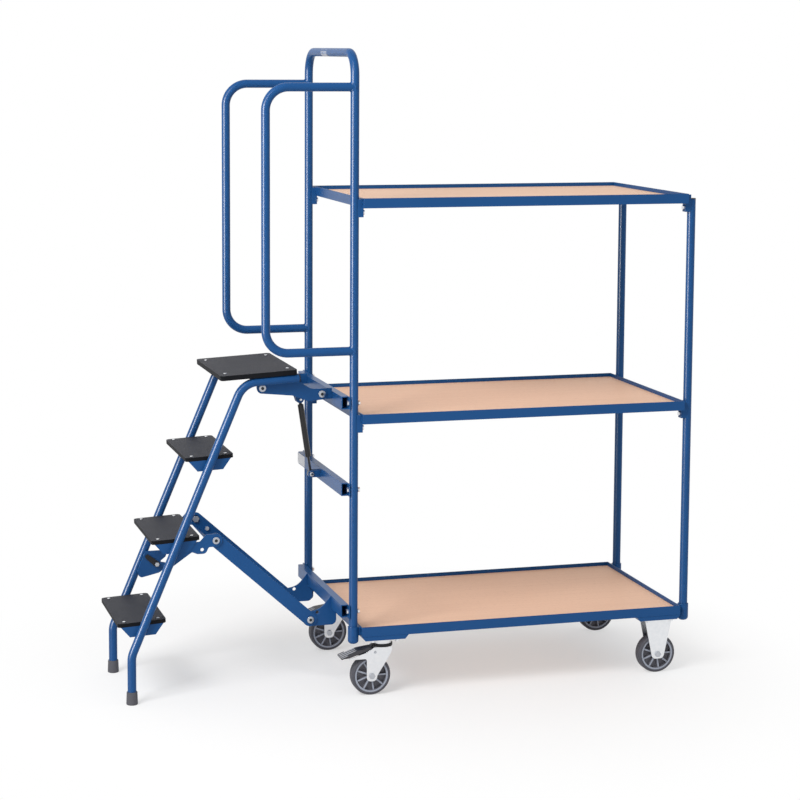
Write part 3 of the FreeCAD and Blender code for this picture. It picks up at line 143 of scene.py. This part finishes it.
def bare_aluminium():
    # rolled sheet with a dull, even grey
    finish, tree, surface = new_finish("rolled_aluminium", roughness=0.6, metallic=0.1, gloss=0.1)
    place = mottle(tree, surface, ALUMINIUM, ALUMINIUM_DULL, patch=0.02)
    ripple(tree, surface, place, grain=0.002, height=0.00002)
    return finish


coat = powder_coat()
plain_plate = bare_aluminium()


def dress(piece, finish, body):
    """Gives a piece its finish and the body that it moves with."""
    piece.data.materials.append(finish)
    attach(piece, body)
    return piece


def as_piece(mesh, name):
    """Turns a bmesh into an object with smooth faces, sharp only where it folds past an angle."""
    for face in mesh.faces:
        face.smooth = True
    for edge in mesh.edges:
        edge.smooth = len(edge.link_faces) == 2 and edge.calc_face_angle(0) < SHARP_FROM
    data = bpy.data.meshes.new(name)
    mesh.to_mesh(data)
    mesh.free()
    piece = bpy.data.objects.new(name, data)
    bpy.context.scene.collection.objects.link(piece)
    weigh = piece.modifiers.new("flat faces", "WEIGHTED_NORMAL")
    weigh.keep_sharp = True
    return piece


def eased(node, edge, segments=2):
    """A merged bmesh copy of a CAD node with its folds eased, as cut sheet and tube ends are."""
    mesh = bmesh.new()
    mesh.from_mesh(nodes[node].data)
    bmesh.ops.remove_doubles(mesh, verts=mesh.verts, dist=MERGE_WITHIN)
    bmesh.ops.dissolve_limit(mesh, angle_limit=FLAT_WITHIN, verts=mesh.verts, edges=mesh.edges)
    folds = [e for e in mesh.edges if len(e.link_faces) == 2 and e.calc_face_angle(0) > EASE_FROM]
    bmesh.ops.bevel(mesh, geom=folds, offset=edge, segments=segments, profile=0.5, affect="EDGES",
                    material=-1, clamp_overlap=True)
    mesh.normal_update()
    return mesh


def stand_in(mesh, node, finish):
    """Makes a worked copy of a CAD node stand for it."""
    piece = dress(as_piece(mesh, f"finished_{node}"), finish, bodies[node])
    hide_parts(node)
    return piece


def finish_node(node, finish, edge, segments=2):
    """Replaces a CAD node by its eased copy in a finish."""
    return stand_in(eased(node, edge, segments), node, finish)


finish_node("handle_hoop", coat, TUBE_EDGE)
hoop_low, hoop_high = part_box("handle_hoop")
tube_radius = (hoop_high.x - hoop_low.x) / 2
left_post_x = (hoop_high.x + hoop_low.x) / 2
bar_z = hoop_high.z - tube_radius

mesh = bmesh.new()
ends = [mesh.verts.new((left_post_x, BAR_PLATE_MIDDLE + BAR_PLATE_LENGTH / 2 * way, bar_z + tube_radius))
        for way in (-1, 1)]
line = mesh.edges.new(ends)
bmesh.ops.spin(mesh, geom=ends + [line], axis=(0, 1, 0), cent=(left_post_x, 0, bar_z),
               angle=-BAR_PLATE_WRAP, steps=16)
bmesh.ops.recalc_face_normals(mesh, faces=mesh.faces)
bmesh.ops.solidify(mesh, geom=mesh.faces, thickness=BAR_PLATE_THICKNESS)
dress(as_piece(mesh, "push_bar_plate"), plain_plate, "frame")

# Guard rails
# Two bent tubes in the same coat. Their ends are notched to the round posts and welded, so a bead
# of weld runs round each end in the shape of a fish's mouth.
BEAD_RADIUS = 0.0022

for side in ("front", "back"):
    rail = f"guard_rail_{side}"
    finish_node(rail, coat, TUBE_EDGE)
    rail_low, rail_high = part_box(rail)
    rail_y = (rail_low.y + rail_high.y) / 2
    for level, z in (("lower", rail_low.z + tube_radius), ("upper", rail_high.z - tube_radius)):
        mesh = bmesh.new()
        section = Matrix.Translation((0, 0, tube_radius)) @ Matrix.Rotation(math.pi / 2, 4, "X")
        bmesh.ops.create_circle(mesh, radius=BEAD_RADIUS, segments=8, matrix=section)
        bmesh.ops.spin(mesh, geom=mesh.verts[:] + mesh.edges[:], axis=(1, 0, 0), cent=(0, 0, 0),
                       angle=math.tau, steps=32, use_merge=True)
        for vert in mesh.verts:
            across = min(abs(vert.co.y), tube_radius)
            vert.co.x -= math.sqrt(tube_radius ** 2 - across ** 2)
        bmesh.ops.translate(mesh, verts=mesh.verts, vec=(left_post_x, rail_y, z))
        bmesh.ops.remove_doubles(mesh, verts=mesh.verts, dist=MERGE_WITHIN)
        bmesh.ops.recalc_face_normals(mesh, faces=mesh.faces)
        dress(as_piece(mesh, f"{level}_weld_{side}"), coat, "frame")

# Right posts and post sockets
# Straight tubes with a flat black plug in the top end, and short pressed sockets that hold all four
# posts on the deck's corners.
PLUG_EDGE = 0.0006
POST_SOCKET_EDGE = 0.001


def moulding(name, first, second, roughness, gloss=0.3):
    # moulded plastic or rubber: little gloss, and a mould grain drawn coarse enough to show
    finish, tree, surface = new_finish(name, roughness, gloss=gloss)
    place = mottle(tree, surface, first, second, patch=0.03)
    ripple(tree, surface, place, grain=0.002, height=0.00008)
    return finish


black_plastic = moulding("black_polyamide", "#1B1B1E", "#222226", roughness=0.42)
finish_node("right_posts", coat, TUBE_EDGE)
finish_node("right_post_caps", black_plastic, PLUG_EDGE)
finish_node("post_sockets", coat, POST_SOCKET_EDGE)

# Shelf frames and their brackets
# Mitred angle steel welded to a tray with a raised rim, and bent tabs on the posts that carry it.
# Sheared edges are a little soft under the coat.
ANGLE_EDGE = 0.0012

for tray in ("deck_frame", "middle_shelf_frame", "top_shelf_frame", "shelf_brackets"):
    finish_node(tray, coat, ANGLE_EDGE)

# Shelf panels
# Coated wood board with a pale beech print: straight fibres along the trolley with short dark
# flecks, under a dull seal. Bands of fibre and flecks are given as length, width and depth.
BEECH = "#EDC8AD"
BEECH_DARK = "#E2B99E"
BEECH_FLECK = "#B88F70"
FIBRE_BAND = (0.5, 0.0143, 0.0143)
FLECK = (0.0143, 0.001613, 0.001613)
FLECK_DEPTH = 0.00005
BOARD_EDGE = 0.0008


def beech():
    finish, tree, surface = new_finish("beech_board", roughness=0.55, gloss=0.2)
    place = put(tree, "TexCoord").outputs["Object"]
    bands = put(tree, "Mapping", {"Scale": [1 / size for size in FIBRE_BAND]}, {"Vector": place})
    band = put(tree, "TexNoise", {"Scale": 1.0, "Detail": 5.0, "Roughness": 0.6},
               {"Vector": bands.outputs[0]})
    dashes = put(tree, "Mapping", {"Scale": [1 / size for size in FLECK]}, {"Vector": place})
    dash = put(tree, "TexNoise", {"Scale": 1.0, "Detail": 1.0}, {"Vector": dashes.outputs[0]})
    mark = put(tree, "MapRange", {"From Min": 0.6, "From Max": 0.74, "To Max": 0.45},
               {"Value": dash.outputs["Fac"]})
    tones = put(tree, "Mix", {"A": linear(BEECH), "B": linear(BEECH_DARK)},
                {"Factor": band.outputs["Fac"]}, data_type="RGBA")
    flecks = put(tree, "Mix", {"B": linear(BEECH_FLECK)},
                 {"Factor": mark.outputs["Result"], "A": tones.outputs["Result"]}, data_type="RGBA")
    tree.links.new(flecks.outputs["Result"], surface.inputs["Base Color"])
    bump = put(tree, "Bump", {"Distance": FLECK_DEPTH, "Strength": 0.6},
               {"Height": dash.outputs["Fac"]})
    tree.links.new(bump.outputs["Normal"], surface.inputs["Normal"])
    return finish


board = beech()
for panel in ("deck_panel", "middle_shelf_panel", "top_shelf_panel"):
    finish_node(panel, board, BOARD_EDGE)

# Crossbars with their lugs and brackets
# Rectangular tube, open at both ends, with plates welded on for the ladder's linkage. The middle bar
# has a blank rating plate on its far end.
BAR_EDGE = 0.001
PLATE_EDGE = 0.0008
RATING_PLATE = (0.0008, 0.094, 0.034)
RATING_PLATE_INSET = 0.062
RATING_PLATE_ROUND = 0.003

for bar in ("upper_crossbar", "middle_crossbar", "lower_crossbar"):
    finish_node(bar, coat, BAR_EDGE)
for lugs in ("crossbar_lugs", "brace_brackets"):
    finish_node(lugs, coat, PLATE_EDGE)
bar_low, bar_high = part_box("middle_crossbar")
plate_place = (bar_low.x, bar_high.y - RATING_PLATE_INSET, (bar_low.z + bar_high.z) / 2)
mesh = bmesh.new()
bmesh.ops.create_cube(mesh, size=1)
bmesh.ops.scale(mesh, vec=RATING_PLATE, verts=mesh.verts)
bmesh.ops.translate(mesh, vec=plate_place, verts=mesh.verts)
corners = [e for e in mesh.edges if abs(e.verts[0].co.x - e.verts[1].co.x) > RATING_PLATE[0] / 2]
bmesh.ops.bevel(mesh, geom=corners, offset=RATING_PLATE_ROUND, segments=4, profile=0.5,
                affect="EDGES", material=-1)
dress(as_piece(mesh, "rating_plate"), plain_plate, "frame")

# Bolts and screws
# Cold-headed steel with a bright zinc plate: a cool, slightly cloudy metal.
# They hold the frame, the casters, the brace's stop, the gas spring and the treads.
BOLT_EDGE = 0.0005


def zinc_plate(name, first, second):
    finish, tree, surface = new_finish(name, roughness=0.34, metallic=1.0)
    place = mottle(tree, surface, first, second, patch=0.012)
    ripple(tree, surface, place, grain=0.003, height=0.00003)
    return finish


zinc = zinc_plate("bright_zinc", "#EEEFF1", "#DCDFE3")
for part in ("frame_bolts", "caster_bolts", "brace_stop_bolt", "strut_pin", "tread_screws"):
    finish_node(part, zinc, BOLT_EDGE)

# Caster beams, plates and housings
# The beams are square tube in the blue coat. Plates, swivel heads and housings are pressed sheet,
# zinc plated, and a black rubber ring keeps dust out of each swivel head's balls.
RING_INSIDE = 0.0301
RING_WALL = 0.003
RING_HEIGHT = 0.0095
RING_LIFT = 0.0006
RING_ROUND = 0.001

finish_node("caster_beams", coat, BAR_EDGE)
for part in ("swivel_plates", "fixed_housings"):
    finish_node(part, zinc, PLATE_EDGE)
dust_rubber = moulding("black_dust_rubber", "#17171A", "#1E1E21", roughness=0.5)
swivels = {joint["child"]: joint["pos_m"] for joint in behaviour["joints"]
           if joint["name"].startswith("caster_swivel")}
ring_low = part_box("swivel_fork_front")[1].z + RING_LIFT
for fork, (x, y, _) in swivels.items():
    mesh = bmesh.new()
    profile = [mesh.verts.new((x + RING_INSIDE + out, y, ring_low + up)) for out, up in
               ((0, 0), (RING_WALL, 0), (RING_WALL, RING_HEIGHT), (0, RING_HEIGHT))]
    mesh.faces.new(profile)
    bmesh.ops.bevel(mesh, geom=profile, offset=RING_ROUND, segments=2, profile=0.5,
                    affect="VERTICES", material=-1)
    bmesh.ops.spin(mesh, geom=mesh.verts[:] + mesh.edges[:], axis=(0, 0, 1), cent=(x, y, 0),
                   angle=math.tau, steps=48, use_merge=True)
    # the section itself would stay as a wall across the ring
    bmesh.ops.delete(mesh, geom=[f for f in mesh.faces if len(f.verts) > 4], context="FACES_ONLY")
    bmesh.ops.remove_doubles(mesh, verts=mesh.verts, dist=MERGE_WITHIN)
    bmesh.ops.recalc_face_normals(mesh, faces=mesh.faces)
    dress(as_piece(mesh, f"dust_ring_{fork}"), dust_rubber, "frame")

# Forks, axles and brake pedals
# Zinc-plated pressed forks with duller axle nuts. The pedal is dark moulded plastic, pale on the crests
# of the ribs that run along its toe. Faces that point up by more than a half take the ribs.
TOE_LENGTH = 0.044
TOE_FACES_UP = 0.5
TOE_DARK = "#2A2A2E"
TOE_RIB_PALE = "#C2C4C9"
RIB_PITCH = 0.014
RIB_HEIGHT = 0.0012
PEDAL_EDGE = 0.0008


def ribbed_toe():
    finish, tree, surface = new_finish("ribbed_polyamide", roughness=0.45, gloss=0.3)
    place = put(tree, "TexCoord").outputs["Object"]
    across = put(tree, "SeparateXYZ", links={0: place}).outputs["Y"]
    run = put(tree, "Math", {1: math.tau / RIB_PITCH}, {0: across}, operation="MULTIPLY")
    wave = put(tree, "Math", links={0: run.outputs[0]}, operation="SINE")
    crest = put(tree, "MapRange", {"From Min": -0.1, "From Max": 0.35}, {"Value": wave.outputs[0]})
    tones = put(tree, "Mix", {"A": linear(TOE_DARK), "B": linear(TOE_RIB_PALE)},
                {"Factor": crest.outputs["Result"]}, data_type="RGBA")
    tree.links.new(tones.outputs["Result"], surface.inputs["Base Color"])
    bump = put(tree, "Bump", {"Distance": RIB_HEIGHT}, {"Height": crest.outputs["Result"]})
    tree.links.new(bump.outputs["Normal"], surface.inputs["Normal"])
    return finish


dull_zinc = zinc_plate("dull_zinc", "#BFC2C8", "#AEB2B9")
pedal_plastic = moulding("dark_pedal_polyamide", "#3A3A3F", "#434348", roughness=0.45)
toe_grip = ribbed_toe()
finish_node("fixed_axles", dull_zinc, PLATE_EDGE)
for side in ("front", "back"):
    finish_node(f"swivel_fork_{side}", zinc, PLATE_EDGE)
    finish_node(f"fork_pins_{side}", dull_zinc, PLATE_EDGE)
    pedal = finish_node(f"brake_pedal_{side}", pedal_plastic, PEDAL_EDGE)
    pedal.data.materials.append(toe_grip)
    toe_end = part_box(f"brake_pedal_{side}")[0].x + TOE_LENGTH
    for face in pedal.data.polygons:
        ribbed = face.center.x < toe_end and face.normal.z > TOE_FACES_UP
        face.material_index = 1 if ribbed else 0

# Wheels
# A soft grey rubber tyre on a moulded centre: a light rim, boss and spokes stand proud of a recessed
# web, which is painted darker as shade. Faces past the web's depth that point sideways by more than a
# share are light; the rest take the painted shade.
WEB_DEPTH = 0.006
SPOKE_FACES_OUT = 0.3
TYRE_EDGE = 0.0005
HUB_EDGE = 0.0006

tyre_rubber = moulding("grey_tyre_rubber", "#4A4A51", "#525259", roughness=0.62)
# the web's darker grey is painted shade in the hub's recess
web_painted_shade = moulding("hub_recess_painted_shade", "#74747C", "#6C6C74", roughness=0.5)
spoke_plastic = moulding("pale_polyamide", "#A3A9B6", "#989EAB", roughness=0.45)
for kind in ("swivel", "fixed"):
    for side in ("front", "back"):
        finish_node(f"{kind}_tyre_{side}", tyre_rubber, TYRE_EDGE)
        hub = finish_node(f"{kind}_hub_{side}", web_painted_shade, HUB_EDGE)
        hub.data.materials.append(spoke_plastic)
        hub_low, hub_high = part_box(f"{kind}_hub_{side}")
        middle = (hub_low.y + hub_high.y) / 2
        for face in hub.data.polygons:
            # faces in the recess and the spokes' sides take the painted shade
            proud = abs(face.center.y - middle) > WEB_DEPTH and abs(face.normal.y) > SPOKE_FACES_OUT
            face.material_index = 1 if proud else 0

# Ladder rails
# Two bent tubes in the blue coat. Grey rubber feet are pushed onto their lower ends, and black plugs
# close the upper ends.
FOOT_EDGE = 0.0008

foot_rubber = moulding("grey_foot_rubber", "#57575D", "#505056", roughness=0.66)
finish_node("ladder_rails", coat, TUBE_EDGE)
finish_node("foot_caps", foot_rubber, FOOT_EDGE)
finish_node("rail_end_plugs", black_plastic, PLUG_EDGE)

# Treads and platform
# Plywood faced with a dark phenolic film that is pressed with a wire-mesh pattern for grip; the sawn
# edges are sealed almost black. Folded sheet carries them on the rails.
TREAD_FILM = "#2C2D33"
TREAD_FILM_WORN = "#36373D"
TREAD_FACES_UP = 0.8
TREAD_EDGE = 0.0015
MESH_PITCH = 0.006
MESH_HEIGHT = 0.0004
MESH_TURN = math.radians(45)
SHEET_EDGE = 0.0006


def mesh_film():
    finish, tree, surface = new_finish("mesh_pressed_film", roughness=0.6, gloss=0.16)
    place = mottle(tree, surface, TREAD_FILM, TREAD_FILM_WORN, patch=0.05)
    turned = put(tree, "Mapping", {"Rotation": (0, 0, MESH_TURN)}, {"Vector": place})
    split = put(tree, "SeparateXYZ", links={0: turned.outputs[0]})
    waves = []
    for axis in ("X", "Y"):
        run = put(tree, "Math", {1: math.tau / MESH_PITCH}, {0: split.outputs[axis]},
                  operation="MULTIPLY")
        waves.append(put(tree, "Math", links={0: run.outputs[0]}, operation="SINE").outputs[0])
    wires = put(tree, "Math", links={0: waves[0], 1: waves[1]}, operation="MAXIMUM")
    bump = put(tree, "Bump", {"Distance": MESH_HEIGHT, "Strength": 0.7},
               {"Height": wires.outputs[0]})
    tree.links.new(bump.outputs["Normal"], surface.inputs["Normal"])
    return finish


film = mesh_film()
sealed_edge = moulding("sealed_plywood_edge", "#111216", "#18191D", roughness=0.6, gloss=0.08)
for step in ("lower_tread_board", "middle_tread_board", "upper_tread_board", "platform_board"):
    piece = finish_node(step, film, TREAD_EDGE, segments=3)
    piece.data.materials.append(sealed_edge)
    for face in piece.data.polygons:
        face.material_index = 0 if face.normal.z > TREAD_FACES_UP else 1
for holder in ("tread_holders", "platform_holder"):
    finish_node(holder, coat, SHEET_EDGE)

# Linkage of the ladder
# Laser-cut link plates on a cross tube, plates under the middle tread and a folded channel as a
# brace, all in the blue coat.
for part in ("link_plates", "ladder_plate_front", "ladder_plate_back", "brace"):
    finish_node(part, coat, PLATE_EDGE)
finish_node("link_cross_member", coat, SHEET_EDGE)

# Pivot bolts
# Button-head bolts in dull zinc: a low dome with a socket, whose walls and floor are painted dark as
# shade. The dome's run and the socket's rim are shares of the head's radius.
HEAD_EDGE = 0.0009
DOME_RUN = 0.33
DOME_RISE = 0.0011
SOCKET_RIM = 0.2
SOCKET_DRAFT = 0.0002
SOCKET_DEPTH = 0.003
# a head's end is a face of many corners, all about as far from its middle
DISC_CORNERS = 16
DISC_ROUNDNESS = 0.96

# the socket's dark grey is painted shade in the recess
socket_shade = moulding("socket_painted_shade", "#3A3B3F", "#303135", roughness=0.5)
for part in ("frame_pivot_bolts", "ladder_pivot_bolts"):
    mesh = eased(part, HEAD_EDGE)
    heads = []
    for face in mesh.faces:
        middle = face.calc_center_median()
        arms = [(corner.co - middle).length for corner in face.verts]
        is_disc = len(arms) > DISC_CORNERS and min(arms) > max(arms) * DISC_ROUNDNESS
        if is_disc and face.normal.y * middle.y > 0:
            heads.append(face)
    for face in heads:
        reach = math.sqrt(face.calc_area() / math.pi)
        bmesh.ops.inset_individual(mesh, faces=[face], thickness=reach * DOME_RUN, depth=DOME_RISE)
        bmesh.ops.inset_individual(mesh, faces=[face], thickness=reach * SOCKET_RIM)
        sunk = bmesh.ops.inset_individual(mesh, faces=[face], thickness=SOCKET_DRAFT,
                                          depth=-SOCKET_DEPTH)
        # the socket's floor and walls take the painted shade
        for shaded in [face] + sunk["faces"]:
            shaded.material_index = 1
    bolts = stand_in(mesh, part, dull_zinc)
    bolts.data.materials.append(socket_shade)

# Gas spring and latch
# A steel cylinder and a nitrided piston rod, both black, turn on the linkage's bolts. A black
# plastic lever sits on the far ladder plate.
SPRING_EDGE = 0.0008
LEVER_EDGE = 0.0006


def lacquer():
    # baked black paint, glossy and even
    finish, tree, surface = new_finish("black_lacquer", roughness=0.24)
    place = mottle(tree, surface, "#0E0F13", "#131418", patch=0.03)
    ripple(tree, surface, place, grain=0.004, height=0.00003)
    return finish


spring_black = lacquer()
for part in ("strut_cylinder", "strut_rod"):
    finish_node(part, spring_black, SPRING_EDGE)
finish_node("latch_lever", black_plastic, LEVER_EDGE)

# Floor
# A pale studio floor that takes the trolley's soft shadow near it and turns to plain white further
# out, where the camera, metal and glass see it.
FLOOR_SIZE = 40
FLOOR_PALE = "#F6F6F6"
SHADOW_REACH = 0.6
WHITE_REACH = 1.5
SHADOW_LIFT = 0.45

mesh = bmesh.new()
bmesh.ops.create_grid(mesh, x_segments=1, y_segments=1, size=FLOOR_SIZE)
floor = as_piece(mesh, "floor")
floor_finish, tree, surface = new_finish("studio_floor", roughness=1.0, gloss=0.0)
surface.inputs["Base Color"].default_value = linear(FLOOR_PALE)


def seen_directly(tree):
    """One where the camera, a reflection or a pane sees the surface, else nought."""
    path = put(tree, "LightPath").outputs
    straight = put(tree, "Math", links={0: path["Is Camera Ray"], 1: path["Is Glossy Ray"]},
                   operation="MAXIMUM")
    return put(tree, "Math", links={0: straight.outputs[0], 1: path["Is Transmission Ray"]},
               operation="MAXIMUM").outputs[0]


place = put(tree, "TexCoord").outputs["Object"]
reach = put(tree, "VectorMath", links={0: place}, operation="LENGTH").outputs["Value"]
far = put(tree, "MapRange",
          {"From Min": SHADOW_REACH, "From Max": WHITE_REACH, "To Min": SHADOW_LIFT},
          {"Value": reach}, interpolation_type="SMOOTHSTEP")
share = put(tree, "Math", links={0: far.outputs["Result"], 1: seen_directly(tree)},
            operation="MULTIPLY")
white = put(tree, "Emission")
mixed = put(tree, "MixShader",
            links={0: share.outputs[0], 1: surface.outputs[0], 2: white.outputs[0]})
tree.links.new(mixed.outputs[0], tree.nodes["Material Output"].inputs["Surface"])
floor.data.materials.append(floor_finish)

# Light
# A white surround and a broad soft lamp high on the left. A tall strip on the left shows only in the
# gloss of the powder coat, where it draws a thin line of light down each tube.
SURROUND = 0.56

world = bpy.data.worlds.new("studio")
bpy.context.scene.world = world
world.use_nodes = True
sky = world.node_tree
glow = put(sky, "MapRange", {"To Min": SURROUND}, {"Value": seen_directly(sky)})
sky.nodes["Background"].inputs["Color"].default_value = (1, 1, 1, 1)
sky.links.new(glow.outputs["Result"], sky.nodes["Background"].inputs["Strength"])


def soft_box(name, place, target, size, power):
    """A rectangular area lamp at a place, turned to a target."""
    lamp = bpy.data.lights.new(name, "AREA")
    lamp.shape = "RECTANGLE"
    lamp.size, lamp.size_y = size
    lamp.energy = power
    holder = bpy.data.objects.new(name, lamp)
    holder.location = place
    holder.rotation_euler = (Vector(target) - Vector(place)).to_track_quat("-Z", "Y").to_euler()
    bpy.context.scene.collection.objects.link(holder)
    return holder


soft_box("key", place=(-4.0, -3.0, 4.8), target=(0, 0, 0.7), size=(2.6, 2.6), power=315)
streak = soft_box("left_strip", place=(-5.2, -2.1, 1.7), target=(0, 0, 1.0), size=(1.4, 3.6),
                  power=1450)
streak.visible_diffuse = False
coated = bpy.data.collections.new("coated_pieces")
for piece in list(bpy.context.scene.objects):
    if piece.type == "MESH" and coat in piece.data.materials[:]:
        coated.objects.link(piece)
streak.light_linking.receiver_collection = coated

# Camera
# At the photograph's viewing angle: level with the push bar and well back, with a long lens. A part
# of the lens's shift keeps the posts nearly upright.
CAMERA_PLACE = (-1.9513, -6.7121, 2.0075)
CAMERA_YAW = math.radians(16.404)
CAMERA_PITCH = math.radians(6.642)
CAMERA_ROLL = math.radians(0.332)
CAMERA_LENS = 98.91
CAMERA_SENSOR = 36
CAMERA_SHIFT = -0.12

camera = bpy.data.objects.new("camera", bpy.data.cameras.new("camera"))
camera.data.lens = CAMERA_LENS
camera.data.sensor_width = CAMERA_SENSOR
camera.data.shift_y = CAMERA_SHIFT
turn = Matrix.Rotation(-CAMERA_YAW, 4, "Z") @ Matrix.Rotation(math.pi / 2 - CAMERA_PITCH, 4, "X")
camera.matrix_world = Matrix.Translation(CAMERA_PLACE) @ turn @ Matrix.Rotation(CAMERA_ROLL, 4, "Z")
bpy.context.scene.collection.objects.link(camera)
bpy.context.scene.camera = camera
bpy.context.scene.view_settings.view_transform = "Standard"
